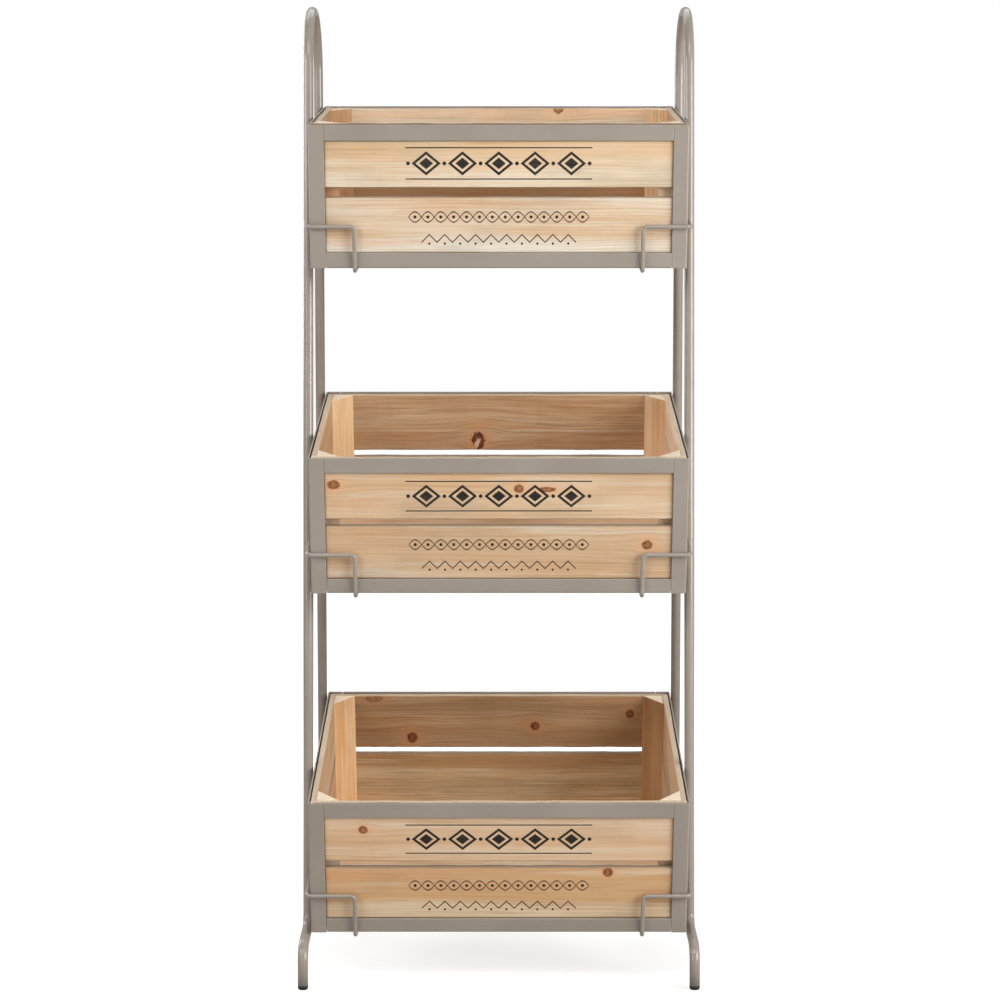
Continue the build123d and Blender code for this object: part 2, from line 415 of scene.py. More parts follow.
def lozenge_print(wood, along, across):
    """A row of lozenges between two rules: ink on each lozenge's edge and heart, with a dot between."""
    pitch, half_width, half_height, half_length = 42 * mm, 17 * mm, 14 * mm, 108 * mm
    drop, dot_radius, rule_height, half_rule = 9 * mm, 2.4 * mm, 18 * mm, 0.8 * mm
    height = across + drop
    cell = (along + pitch / 2).ping_pong(pitch / 2)
    lozenge = (pitch / 2 - cell) / half_width + abs(height) / half_height
    ring = stroke(wood, abs(lozenge - 0.86), 0.15, 0.03)
    heart = stroke(wood, lozenge, 0.5, 0.04)
    dots = stroke(wood, (cell * cell + height * height) ** 0.5, dot_radius, 0.3 * mm)
    rule = stroke(wood, abs(abs(height) - rule_height), half_rule, 0.2 * mm)
    inside = stroke(wood, abs(along), half_length + 0.2 * mm, 0.2 * mm)
    return (ring + heart + dots + rule) * inside


def braid_print(wood, along, across):
    """Two crossing waves with a dot in each eye, over a shorter zigzag line with a dot in each bay."""
    wave_length, swing, half_length = 30 * mm, 6 * mm, 105 * mm
    braid_rise, half_strand, eye_radius = 14 * mm, 0.85 * mm, 2.0 * mm
    height = across - braid_rise
    wave = (along * (2 * pi / wave_length)).sine() * swing
    strand = stroke(wood, abs(abs(height) - abs(wave)), half_strand, 0.25 * mm)
    eye = (along - wave_length / 4).ping_pong(wave_length / 4)
    eyes = stroke(wood, (eye * eye + height * height) ** 0.5, eye_radius, 0.3 * mm)
    braid = (strand + eyes) * stroke(wood, abs(along), half_length + 0.2 * mm, 0.2 * mm)

    bay, zig_length = 18 * mm, 90 * mm
    zig_drop, half_line, dot_drop, dot_radius = 11 * mm, 1.0 * mm, 6 * mm, 1.5 * mm
    low_height = across + zig_drop
    line = stroke(wood, abs(low_height - along.ping_pong(bay / 2) + bay / 4), half_line, 0.25 * mm)
    notch = (along + bay / 2).ping_pong(bay / 2)
    dot_height = low_height + dot_drop
    dots = stroke(wood, (notch * notch + dot_height * dot_height) ** 0.5, dot_radius, 0.3 * mm)
    zigzag = (line + dots) * stroke(wood, abs(along), zig_length + 0.2 * mm, 0.2 * mm)
    return braid + zigzag


class Band(NamedTuple):
    """A band of another tone along a board: its middle and half width across the board, its colour and
    strength, and over how much it fades. The softer a band is, the more it wanders."""

    middle: float
    half_width: float
    tone: tuple
    strength: float
    softness: float = 8 * mm


class Knot(NamedTuple):
    """A knot in a board: its place along and across the board, its half length and half height, how
    strongly it shows, and how far its heart has torn out to pale wood."""

    along: float
    across: float
    half_length: float
    half_height: float
    strength: float = 1.0
    torn: float = 0.0


class Pine(Finish):
    """Pine cut from a log, in the making.

    Each board carries its half sizes, its tone, and the window in the steel that it stands behind. Fibres
    and patches are noise drawn out along the board. The ring that a point lies in is its distance from the
    pith line, in ring widths. All of these bend aside round each knot.
    """

    def __init__(self, name, knots, pith, ring_width):
        super().__init__(name, {"IOR": 1.45})
        self.along, self.across, self.through = self.parts("board")
        self.half_length, self.half_width, self.half_depth = self.parts("half_size")
        self.outer = self.rise(self.through - self.half_depth, *face_fade)
        self.seed = self.attribute("seed")
        self.start = self.along + self.seed * 7.0

        self.bent = self.across
        self.knots = []
        for knot in knots:
            off = (self.along - knot.along) / knot.half_length
            aside = self.across - knot.across
            tall = aside / knot.half_height
            self.knots.append((knot, off, tall))
            self.bent = self.bent - aside / (1.0 + off * off * 0.12 + tall * tall * 0.4) * 0.9

        self.sway = self.patches(3.0, 8.0, self.seed * 5.0, 2.0, 0.5)
        side = self.bent - pith[0] + self.sway * pith_wander + (self.seed - 0.5) * pith_spread
        depth = self.through - pith[1]
        radius = (side * side + depth * depth) ** 0.5
        pace = self.noise(self.join(radius * 55.0, self.seed * 9.0, self.start * 0.6), 1.0, 2.0)
        ring = (radius / ring_width + pace * 4.0).fraction()
        self.late = self.rise(ring, 0.3, 0.93) * self.rise(ring, 1.0, 0.94)
        self.fibre = self.fibres(26.0, 900.0)
        self.fleck = self.fibres(60.0, 1500.0, 2.0, 0.5)
        self.cloud = self.patches(9.0, 20.0, self.seed * 3.0, 3.0, 0.5)
        self.height = self.late * 0.35 + self.fibre * 0.9

    def fibres(self, pace, fineness, detail=3.0, roughness=0.6):
        """Noise that changes at one pace along the board and at a finer one across and through it."""
        place = self.join(self.start * pace, self.bent * fineness, self.through * fineness)
        return self.noise(place, 1.0, detail, roughness)

    def patches(self, pace, fineness, level, detail=3.0, roughness=0.6):
        """Noise that goes right through the board. The level picks other patches for each board."""
        place = self.join(self.start * pace, self.bent * fineness, level)
        return self.noise(place, 1.0, detail, roughness)

    def toned(self, bands, contrast, weather):
        """Clean wood: warm streaks on early wood, bands, flushes and pale sapwood, then the dark lines of
        rings and fibres by their contrast, grey clouds and brown flecks, and weathered lines on top."""
        streak = self.fibres(1.8, 60.0)
        line = self.fibres(7.0, 420.0)
        ripple = self.fibres(110.0, 30.0, 1.0, 0.5)
        stain = self.patches(4.0, 28.0, self.seed * 8.0 + 3.0)
        flush = self.patches(2.6, 46.0, self.seed * 11.0 + 1.0)
        pale = self.patches(3.4, 75.0, self.seed * 4.0 + 5.0)

        colour = self.mix(early_wood, warm_wood, self.rise(streak * 0.6 + stain * 0.4, 0.34, 0.66))
        for band in bands:
            drift = ((self.sway - 0.5) * 1.75 + (streak - 0.5) * 1.5) * band.softness
            spread = abs(self.across + drift - band.middle)
            share = self.rise(spread, band.half_width + band.softness, band.half_width - band.softness)
            colour = self.mix(colour, band.tone, share * band.strength)
        colour = self.mix(colour, flush_wood, self.rise(flush, 0.5, 0.7) * 0.5)
        colour = self.mix(colour, sap_wood, self.rise(pale, 0.52, 0.72) * 0.55)

        ringed = self.late * (0.05 + self.rise(stain, 0.45, 0.7) * 0.32)
        lined = self.rise(line, 0.5, 0.7) * 0.34 + self.rise(ripple, 0.5, 0.75) * 0.05
        fibred = self.rise(self.fibre, 0.5, 0.74) * 0.26
        for dark in (ringed, lined, fibred):
            colour = self.mix(colour, late_wood, dark * contrast)
        colour = self.mix(colour, grey_wood, self.rise(self.cloud, 0.48, 0.75) * 0.35)
        colour = self.mix(colour, knot_wood, self.rise(self.fleck, 0.66, 0.8) * 0.2)
        if weather:
            check = self.fibres(14.0, 620.0, 4.0, 0.65)
            patch = self.rise(stain * 0.5 + pale * 0.5, 0.36, 0.6)
            greyed = self.rise(check, 0.48, 0.62) * (0.3 + patch * 0.7)
            colour = self.mix(colour, weathered_wood, greyed * weather)
        return colour

    def knotted(self, colour):
        """Knots on the wood, a little proud of it: a flushed halo, and a brown disc with a ragged dark rim.
        A torn knot is dark all over, with a pale chip that slants down from its middle."""
        blot = self.noise(self.join(self.along * 300.0, self.across * 300.0, self.seed), 1.0, 2.0)
        for knot, off, tall in self.knots:
            gap = (off * off + tall * tall) ** 0.5
            ragged = gap + (self.cloud - 0.5) * 0.5 + (blot - 0.5) * (0.7 + knot.torn * 0.9)
            halo = self.rise(gap, 3.2, 1.0)
            disc = self.rise(ragged, 1.25, 0.75) * knot.strength
            rim = self.rise(abs(ragged - 0.75), 0.45, 0.1)
            shade = self.rise(blot, 0.45, 0.7) * 0.5 + rim * 0.5 + knot.torn * 0.5
            colour = self.mix(colour, flush_wood, halo * 0.6)
            colour = self.mix(colour, knot_wood, disc * 0.9)
            colour = self.mix(colour, knot_shade, shade.or_less(1.0) * disc)
            if knot.torn:
                slant = off * 0.86 + tall * 0.5 + (blot - 0.5) * 0.6
                chip = self.rise(abs(slant), 0.4, 0.2) * self.rise(tall, 0.35, 0.05)
                colour = self.mix(colour, torn_wood, chip * disc * knot.torn)
            self.height = self.height + disc * 0.7
        return colour

    def edged(self, colour):
        """Edges as the saw left them: pale, and palest on cut ends, whose pale end grain also stands in for
        light from above on the post tops as a painted highlight. The edge along the slat gap gets painted
        shade, and the outer face gets a painted shadow line along the steel's window."""
        gap_side = self.attribute("gap_side")
        window_end, window_low, window_high = self.parts("window")
        saw = self.noise(self.join(self.start * 900.0, self.through * 60.0, self.across * 60.0), 1.0, 2.0)
        sawn = self.rise(abs(self.across) - self.half_width, *edge_fade)
        cut_end = self.rise(abs(self.along) - self.half_length, *edge_fade)
        # Painted shade on the edge that faces the slat gap
        gap_shade = self.rise(self.across * gap_side - self.half_width, *gap_fade)
        rough = self.mix(sawn_wood, grey_wood, self.rise(saw, 0.4, 0.75) * 0.4)
        # Cut ends: pale end grain, with a painted highlight on the post tops
        end_grain = self.mix(end_wood_and_highlight, warm_wood, self.late * 0.35 + self.fleck * 0.1)
        beyond = abs(self.along) - window_end
        beyond = beyond.or_more(self.across - window_high).or_more(window_low - self.across)
        # A painted shadow line on the outer face, along the steel's window
        seam_shadow = self.rise(beyond + (self.cloud - 0.5) * seam_shadow_sway, *seam_shadow_fade) * self.outer
        colour = self.mix(colour, rough, sawn * 0.75)
        colour = self.mix(colour, painted_shade_tone, gap_shade * 0.6)
        colour = self.mix(colour, end_grain, cut_end * 0.9)
        return self.mix(colour, painted_shade_tone, seam_shadow * 0.75)

    def printed(self, colour, design):
        """Ink on the outer face, a little thinner along the fibres."""
        worn = self.rise(self.fibre * 0.7 + self.cloud * 0.4, 0.7, 0.52)
        ink = design(self, self.along, self.across) * self.outer
        return self.mix(colour, ink_tone, ink.or_less(1.0) * (0.95 + worn * 0.05))


def pine(
    name,
    bands=(),
    knots=(),
    pith=(95 * mm, -25 * mm),
    ring_width=4.6 * mm,
    contrast=1.0,
    weather=0.0,
    design=None,
):
    """Pine for one board, or for boards alike: clean wood and its knots in the board's tone, then the sawn
    edges with their painted shade and highlight, and the print. The contrast is that of rings and fibres,
    the weather that of fine grey lines."""
    wood = Pine(name, knots, pith, ring_width)
    colour = wood.toned(bands, contrast, weather)
    if knots:
        colour = wood.knotted(colour)
    # The board's tone, which also carries painted light and shade for the boards, posts and floors inside
    # the crates
    colour = wood.mix(colour, wood.attribute("tone", "Color"), 1.0, "MULTIPLY")
    colour = wood.edged(colour)
    if design is not None:
        colour = wood.printed(colour, design)
    wood.feed({
        "Base Color": colour,
        "Roughness": 0.52 + wood.fibre * 0.22 - wood.late * 0.06,
        "Normal": wood.bump(wood.height, 0.22 * mm, 0.8),
    })
    return wood.material


def bent_path(corners, radii, arc_step):
    """Straight runs joined by arcs that touch them: at each inner corner the runs stop short by the radius
    times the tangent of half the turn, and the arc turns from one run's direction to the next."""
    corners = np.array(corners, float)
    parts = [corners[:1]]
    for before, corner, after, radius in zip(corners, corners[1:], corners[2:], radii):
        run_in = (corner - before) / np.linalg.norm(corner - before)
        run_out = (after - corner) / np.linalg.norm(after - corner)
        turn = np.arccos(np.clip(run_in @ run_out, -1, 1))
        start = corner - run_in * radius * np.tan(turn / 2)
        inward = run_out - run_in * (run_in @ run_out)
        inward /= np.linalg.norm(inward)
        angle = np.linspace(0, turn, max(3, int(turn / arc_step) + 1))[:, None]
        parts.append(start + radius * (run_in * np.sin(angle) + inward * (1 - np.cos(angle))))
    parts.append(corners[-1:])
    return np.concatenate(parts)


def flattened(path, tightest, share):
    """How thick a bent tube is in the bend's plane, at each point of its path: less by the share where the
    path turns with the tightest radius, and hardly less in wide bends, with an even passage to the runs."""
    steps = np.diff(path, axis=0)
    length = np.linalg.norm(steps, axis=1)
    heading = steps / length[:, None]
    turn = np.linalg.norm(np.diff(heading, axis=0), axis=1) / (length[1:] + length[:-1]) * 2
    passage = 7
    smooth = np.full(passage, 1 / passage)
    bend = np.convolve(np.pad(turn * tightest, (passage + 1) // 2), smooth, "valid")
    return 1 - share * bend**2


def round_bar(path, radius, facing, sides_round, tip=0.0, flat=1.0):
    """A circle carried along a path: each ring lies square to the path, turned so that it starts on the
    side that faces the given direction. A tip draws the last rings in to a dome of that height, and flat
    is the share of its thickness that a bar keeps square to the facing direction."""
    if tip:
        drawn = np.linspace(0, dome_turn, 6)[1:]
        end_run = (path[-1] - path[-2]) / np.linalg.norm(path[-1] - path[-2])
        dome = path[-1] + end_run * tip * np.sin(drawn)[:, None]
        path = np.concatenate([path, dome])
        size = np.concatenate([np.full(len(path) - len(drawn), radius), radius * np.cos(drawn)])
    else:
        size = np.full(len(path), radius)
    along = np.gradient(path, axis=0)
    along /= np.linalg.norm(along, axis=1, keepdims=True)
    facing = np.array(facing, float)
    first = facing - along * (along @ facing)[:, None]
    first /= np.linalg.norm(first, axis=1, keepdims=True)
    second = np.cross(along, first)
    angle = np.linspace(0, 2 * pi, sides_round, endpoint=False)[None, :, None]
    thin = second * np.broadcast_to(flat, len(path))[:, None]
    offset = first[:, None] * np.cos(angle) + thin[:, None] * np.sin(angle)
    return path[:, None] + offset * size[:, None, None]


def turned(axis_start, axis, radii, heights, facing, sides_round, ripple=0.0, ripples=0):
    """A profile spun round an axis, with the radius swelling and shrinking a number of times per turn."""
    axis = np.array(axis, float) / np.linalg.norm(axis)
    first = np.array(facing, float)
    first = first - axis * (first @ axis)
    first /= np.linalg.norm(first)
    second = np.cross(axis, first)
    angle = np.linspace(0, 2 * pi, sides_round, endpoint=False)[None, :, None]
    radius = np.array(radii)[:, None, None] * (1 + ripple * np.sin(ripples * angle))
    height = np.array(heights)[:, None, None]
    return np.array(axis_start) + axis * height + radius * (first * np.cos(angle) + second * np.sin(angle))


def skin(rings):
    """Points and faces over rings: four-sided faces between the rings, and a flat face on each end."""
    count, around = rings.shape[:2]
    index = np.arange(count * around).reshape(count, around)
    after = np.roll(index, -1, axis=1)
    quads = np.stack([index[:-1], after[:-1], after[1:], index[1:]], -1).reshape(-1, 4)
    ends = [index[0, ::-1].tolist(), index[-1].tolist()]
    return rings.reshape(-1, 3), quads.tolist() + ends


def sheet_faces(rows, columns):
    """Four-sided faces of an open grid."""
    index = np.arange(rows * columns).reshape(rows, columns)
    quads = np.stack([index[:-1, :-1], index[:-1, 1:], index[1:, 1:], index[1:, :-1]], -1)
    return quads.reshape(-1, 4).tolist()


def merge(shapes):
    """Several shapes as one: points one after the other, faces counted on, and attributes end to end."""
    points, faces, attributes = [], [], {}
    for shape_points, shape_faces, shape_attributes in shapes:
        offset = sum(map(len, points))
        points.append(shape_points)
        faces += [[corner + offset for corner in face] for face in shape_faces]
        for key, values in shape_attributes.items():
            attributes.setdefault(key, []).append(values)
    return np.concatenate(points), faces, {key: np.concatenate(v) for key, v in attributes.items()}


def make_piece(name, shapes, material, body, nodes=()):
    """A piece with its place in its mesh, which rides on a body and stands for the given nodes."""
    points, faces, attributes = merge(shapes)
    mesh = bpy.data.meshes.new(name)
    mesh.from_pydata(points.tolist(), [], faces)
    for key, values in attributes.items():
        kind, field = ("FLOAT_VECTOR", "vector") if values.ndim == 2 else ("FLOAT", "value")
        layer = mesh.attributes.new(key, kind, "POINT")
        layer.data.foreach_set(field, np.ascontiguousarray(values, np.float32).ravel())
    mesh.polygons.foreach_set("use_smooth", np.ones(len(mesh.polygons), bool))
    mesh.materials.append(material)
    piece = bpy.data.objects.new(name, mesh)
    bpy.context.scene.collection.objects.link(piece)
    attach(piece, body)
    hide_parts(*nodes)
    return piece


def even_normals(piece):
    """Let the large flat faces set the shading next to small rounded edges."""
    piece.modifiers.new("even_normals", "WEIGHTED_NORMAL").keep_sharp = True


stand_coat = powder_coat("stand_coat", 0.14)
crate_coat = powder_coat("crate_coat", 0.27)
black_rubber = foot_rubber()
bright_steel = nail_steel()


# Side frames, foot plugs, cradle wires and tie rods

loop_corner = loop_height + loop_radius / sin(leg_lean)
kick_top = kick_height + kick_rise
rear_foot_y = leg_y(1, cap_height)
wire_drop = seat_clearance + wire_radius
wire_bend_radius = fold_radius + wire_drop
rod_drop = seat_clearance + 2 * wire_radius + rod_radius


def stand_piece(name, bars, *nodes, material=stand_coat, slot="stand_metal"):
    """A piece of the stand, whose bars and beads are given as rings."""
    make_piece(name, [(*skin(rings), {}) for rings in bars], material, "stand", nodes)


def side_frame(side_name, side):
    """One bent tube: front foot, kick back to the front leg, loop, and the rear leg down to its foot."""
    x = side * tube_x
    corners = [
        (x, front_foot_y, cap_height),
        (x, front_foot_y, kick_height),
        (x, leg_y(-1, kick_top), kick_top),
        (x, stand_setback, loop_corner),
        (x, rear_foot_y, cap_height),
    ]
    path = bent_path(corners, [foot_bend_radius, foot_bend_radius, loop_radius], arc_step=radians(4))
    flat = flattened(path, foot_bend_radius, bend_flattening)
    rings = round_bar(path, tube_radius, (1, 0, 0), sides_round=40, flat=flat)
    stand_piece(f"{side_name}_bent_tube", [rings], f"{side_name}_side_frame")


def foot_plug(name, tube_end, axis):
    """A plug with a rounded lower edge, spun round the tube's axis and cut level on the floor."""
    round_step = np.linspace(0, pi / 2, 6)
    edge_heights = -cap_height + cap_edge_radius * (1 - np.cos(round_step))
    edge_radii = tube_radius - cap_edge_radius * (1 - np.sin(round_step))
    heights = np.concatenate([edge_heights, -plug_seam[:, 0]])
    radii = np.concatenate([edge_radii, tube_radius - plug_seam[:, 1]])
    rings = turned(tube_end, axis, radii, heights, (1, 0, 0), sides_round=32)
    rings[..., 2] = np.maximum(rings[..., 2], 0)
    stand_piece(f"{name}_foot_plug", [rings], f"{name}_foot_cap", material=black_rubber, slot="cap_rubber")


def weld_bead(start, axis, bar_radius, facing):
    """A rippled fillet round a bar's end: its height over the bar falls from the swell times the reach to
    nothing, as one less the sine of a quarter turn."""
    profile = np.linspace(0, 1, 6)
    radii = bar_radius + weld_reach * (1 - np.sin(profile * pi / 2)) * weld_swell
    return turned(start, axis, radii, profile * weld_reach, facing, 24, weld_ripple, weld_ripples)


def cradle_wires(tier):
    """The two wires under a crate: each runs forward from the front leg, round the crate's corner, down
    its front and back under its floor to a domed end, with a weld bead on the leg."""
    wire_x = tier.width / 2 + hook_side_clearance + wire_radius
    drop_x = tier.width / 2 - hook_reach
    leg_back = tier.leg_crossing(-1, hook_height)
    seat_depth = np.sqrt(tube_radius**2 - (tube_x - wire_x) ** 2) / cos(tier.tilt + leg_lean)
    wire_end = tier.leg_crossing(1, -rod_drop) + rod_radius + wire_overhang
    for side_name, side in sides.items():
        corners = [
            (side * wire_x, leg_back - wire_start_ahead, hook_height),
            (side * wire_x, -wire_drop, hook_height),
            (side * drop_x, -wire_drop, hook_height),
            (side * drop_x, -wire_drop, -wire_drop),
            (side * drop_x, wire_end - wire_radius, -wire_drop),
        ]
        path = bent_path(corners, [wire_bend_radius] * 3, arc_step=radians(9))
        wire = round_bar(path, wire_radius, (1, 1, 1), sides_round=20, tip=wire_radius)
        name = f"{tier.name}_{side_name}"
        stand_piece(f"{name}_hook_wire", [tier.place(wire)], f"{name}_cradle_wire")
        weld_start = (side * wire_x, leg_back - seat_depth + weld_overlap, hook_height)
        bead = weld_bead(weld_start, (0, -1, 0), wire_radius, (1, 0, 0))
        stand_piece(f"{name}_hook_weld", [tier.place(bead)])


def tie_rod(tier, side, name):
    """A round rod between the two front (-1) or rear (1) legs, with a weld bead at each end."""
    back = tier.leg_crossing(side, -rod_drop)
    reach = tube_x - tube_radius
    path = np.array([(-reach, back, -rod_drop), (0, back, -rod_drop), (reach, back, -rod_drop)])
    bars = [tier.place(round_bar(path, rod_radius, (0, 0, 1), sides_round=24))]
    for end in sides.values():
        weld_start = (end * (reach + weld_overlap), back, -rod_drop)
        bars.append(tier.place(weld_bead(weld_start, (-end, 0, 0), rod_radius, (0, 0, 1))))
    stand_piece(f"{name}_bar", bars, name)


rear_axis = (0, -sin(leg_lean), cos(leg_lean))
for side_name, side in sides.items():
    side_frame(side_name, side)
    foot_plug(f"front_{side_name}", (side * tube_x, front_foot_y, cap_height), (0, 0, 1))
    foot_plug(f"rear_{side_name}", (side * tube_x, rear_foot_y, cap_height), rear_axis)
for tier in tiers:
    cradle_wires(tier)
for tier in tiers:
    tie_rod(tier, 1, f"{tier.name}_rear_tie_rod")
tie_rod(tiers[-1], -1, "bottom_front_tie_rod")


# Steel round each crate

def steel_sheet(tier, profile, run):
    """A folded strip: a profile carried along a straight run, with worn marks on all its edges."""
    margin = worn_margin / np.linalg.norm(run)
    share = np.array([0, margin, 0.25, 0.5, 0.75, 1 - margin, 1])
    points = profile[None] + share[:, None, None] * np.array(run)
    worn = np.zeros(points.shape[:2])
    worn[:, [0, -1]] = 1
    worn[[0, -1]] = 1
    place = tier.place(points).reshape(-1, 3)
    return place, sheet_faces(*points.shape[:2]), {"edge": worn.ravel()}


def with_margins(profile):
    """The profile with a point added just inside each end, so that the worn edge stays narrow."""
    first = (profile[1] - profile[0]) / np.linalg.norm(profile[1] - profile[0])
    last = (profile[-2] - profile[-1]) / np.linalg.norm(profile[-2] - profile[-1])
    after_first = profile[:1] + first * worn_margin
    before_last = profile[-1:] + last * worn_margin
    return np.concatenate([profile[:1], after_first, profile[1:-1], before_last, profile[-1:]])


def steel_piece(tier, name, shapes, node):
    """A piece of sheet steel: its wall thickness behind the outer face, and narrow rounded edges."""
    piece = make_piece(
        f"{tier.body}_{name}", shapes, crate_coat, tier.body, [f"{tier.body}_{node}"]
    )
    wall = piece.modifiers.new("wall", "SOLIDIFY")
    wall.thickness = strip_thickness
    wall.offset = -1
    edges = piece.modifiers.new("edges", "BEVEL")
    edges.width = steel_edge
    edges.segments = 2
    edges.limit_method = "ANGLE"
    edges.angle_limit = radians(40)
    even_normals(piece)


def make_steel(tier):
    """Corner angles, and the strips and angles butted between them with a fine seam."""
    half, depth, height = tier.width / 2, tier.depth, tier.height
    inner, back = half - strip_width, depth - strip_width

    angles = []
    for side in sides.values():
        for wall_y, flange_y in ((0, strip_width), (depth, back)):
            corner = [(side * inner, wall_y, 0), (side * half, wall_y, 0), (side * half, flange_y, 0)]
            profile = with_margins(bent_path(corner, [fold_radius], arc_step=radians(15)))
            outward = side if wall_y == 0 else -side
            angles.append(steel_sheet(tier, profile[::outward], (0, 0, height)))
    steel_piece(tier, "corner_steel", angles, "corner_angles")

    def strip(start, run):
        """An upright rim strip, seen from outside from its lower edge up."""
        profile = np.array([start, (start[0], start[1], height)])
        return steel_sheet(tier, with_margins(profile), run)

    def angle(start, ledge, run):
        """A foot angle: from the ledge's inner edge, out round the fold and up the wall."""
        corner = np.array([start[0], start[1], 0])
        ledge_end = corner + np.array(ledge) * strip_width
        wall_top = corner + (0, 0, strip_width)
        profile = bent_path([ledge_end, corner, wall_top], [fold_radius], arc_step=radians(15))
        return steel_sheet(tier, with_margins(profile), run)

    rim = height - strip_width
    long_run, short_run = 2 * (inner - seam_gap), back - strip_width - 2 * seam_gap
    left_end, front_end = -inner + seam_gap, strip_width + seam_gap
    walls = {
        "front": ((-left_end, 0), (-long_run, 0, 0), (0, 1, 0)),
        "back": ((left_end, depth), (long_run, 0, 0), (0, -1, 0)),
        "left": ((-half, front_end), (0, short_run, 0), (1, 0, 0)),
        "right": ((half, depth - front_end), (0, -short_run, 0), (-1, 0, 0)),
    }
    strips = {wall: strip((*start, rim), run) for wall, (start, run, ledge) in walls.items()}
    angles = {wall: angle(start, ledge, run) for wall, (start, run, ledge) in walls.items()}
    steel_piece(tier, "front_top_strip", [strips["front"]], "front_top_rail")
    steel_piece(tier, "front_bottom_angle", [angles["front"]], "front_bottom_rail")
    steel_piece(tier, "back_steel", [strips["back"], angles["back"]], "back_rails")
    side_steel = [strips["left"], strips["right"], angles["left"], angles["right"]]
    steel_piece(tier, "side_steel", side_steel, "side_rails")


# Timber

corner_turns = 4
flat_points = 9
far_off = 10.0
open_window = far_off, -far_off, far_off

# Radius of the circle inside a right-angled triangle with two like legs, as a share of a leg
triangle_inner_share = 0.29


def board_outline():
    """A rounded rectangle's outline as three rows: the share of the core's half width and half height that
    each point stands at, and the direction in which the edge radius pushes it out."""
    quarter = np.linspace(0, pi / 2, corner_turns + 1)
    flat = np.linspace(1, -1, flat_points + 2)[1:-1]
    ones = np.ones(corner_turns + 1)
    across = np.concatenate([ones, flat, -ones, -ones, -flat, ones])
    through = np.concatenate([ones, np.ones(flat_points), ones, -ones, -np.ones(flat_points), -ones])
    up, down = np.full(flat_points, pi / 2), np.full(flat_points, 1.5 * pi)
    push = np.concatenate([quarter, up, quarter + pi / 2, quarter + pi, down, quarter + 1.5 * pi])
    return across, through, push


outline_across, outline_through, outline_push = board_outline()


def wander(chance, along, scale, reach, waves=7):
    """A slow random line: a sum of sines of random pitch and phase, with a given reach."""
    pitch = chance.uniform(0.4, 1.0, waves)[:, None] * 2 * pi / scale
    phase = chance.uniform(0, 2 * pi, waves)[:, None]
    return reach * np.sin(along[None] * pitch + phase).sum(0) / np.sqrt(waves)


def marks(own, half_size, window, gap_side, tone, chance):
    """What the pine reads: each point's place in its board, and values that hold for the whole board."""
    count = own.size // 3
    whole = {"half_size": half_size, "window": window, "tone": np.broadcast_to(tone, 3)}
    values = {key: np.tile(np.array(value, float), (count, 1)) for key, value in whole.items()}
    single = {"seed": np.full(count, chance.uniform()), "gap_side": np.full(count, float(gap_side))}
    return {"board": own.reshape(-1, 3), **single, **values}


def sawn_line(chance, along):
    """How far a sawn edge strays: a long wave and the saw's fine chatter."""
    wave = wander(chance, along, stray_length, stray_swing)
    return wave + wander(chance, along, chatter_length, chatter_swing)


def board(tier, low, high, directions, chance, steel_end=None, gap_side=0, tone=1.0):
    """A sawn board: a rounded rectangle carried along the board, drawn in at both ends. Its edges stray,
    and points between them by the sixth power of how near an edge they stand. Its corner radius changes,
    and it bows a little. It may stand in the steel's window, which ends at the given distance from the
    board's middle and one strip width inside the crate's rim and foot. The gap to the next slat is at its
    upper edge (1) or its lower one (-1)."""
    middle, size = (low + high) / 2, high - low
    turn = np.array(directions, float)
    length, width, thickness = np.abs(turn @ size)
    half_size = (length / 2, width / 2 - width_room, thickness / 2 - thickness_room)
    ease = np.linspace(0, pi / 2, 5)[1:]
    stations = max(12, int(length / board_step))
    run = np.linspace(-length / 2 + board_edge, length / 2 - board_edge, stations)
    end_run = length / 2 - board_edge * (1 - np.sin(ease))
    inset = board_edge * (1 - np.cos(ease))
    along = np.concatenate([-end_run[::-1], run, end_run])
    drawn = np.concatenate([inset[::-1], np.zeros(stations), inset])

    radius = board_edge * (0.75 + 0.45 * np.abs(wander(chance, along, edge_wave_length, 1.0)))
    radius = np.maximum(radius - drawn, least_edge)[:, None]
    upper = sawn_line(chance, along)[:, None]
    lower = sawn_line(chance, along)[:, None]
    bow = wander(chance, along, length, bow_swing)
    half_width, half_thickness = (half - drawn[:, None] - radius for half in half_size[1:])
    strayed = np.where(outline_across > 0, upper, lower) * np.abs(outline_across) ** 6
    across = half_width * outline_across + radius * np.cos(outline_push) + strayed
    through = half_thickness * outline_through + radius * np.sin(outline_push)
    own = np.stack([np.broadcast_to(along[:, None], across.shape), across, through], -1)
    bowed = own + bow[:, None, None] * np.array([0, 0, 1])
    points, faces = skin(tier.place(middle + bowed @ turn))
    window = open_window
    if steel_end is not None:
        window = (steel_end, strip_width - middle[2], tier.height - strip_width - middle[2])
    return points, faces, marks(own, half_size, window, gap_side, tone, chance)


front_turn = ((1, 0, 0), (0, 0, 1), (0, -1, 0))
back_turn = ((-1, 0, 0), (0, 0, 1), (0, 1, 0))
left_turn = ((0, -1, 0), (0, 0, 1), (-1, 0, 0))
right_turn = ((0, 1, 0), (0, 0, 1), (1, 0, 0))
floor_turn = ((1, 0, 0), (0, 1, 0), (0, 0, 1))


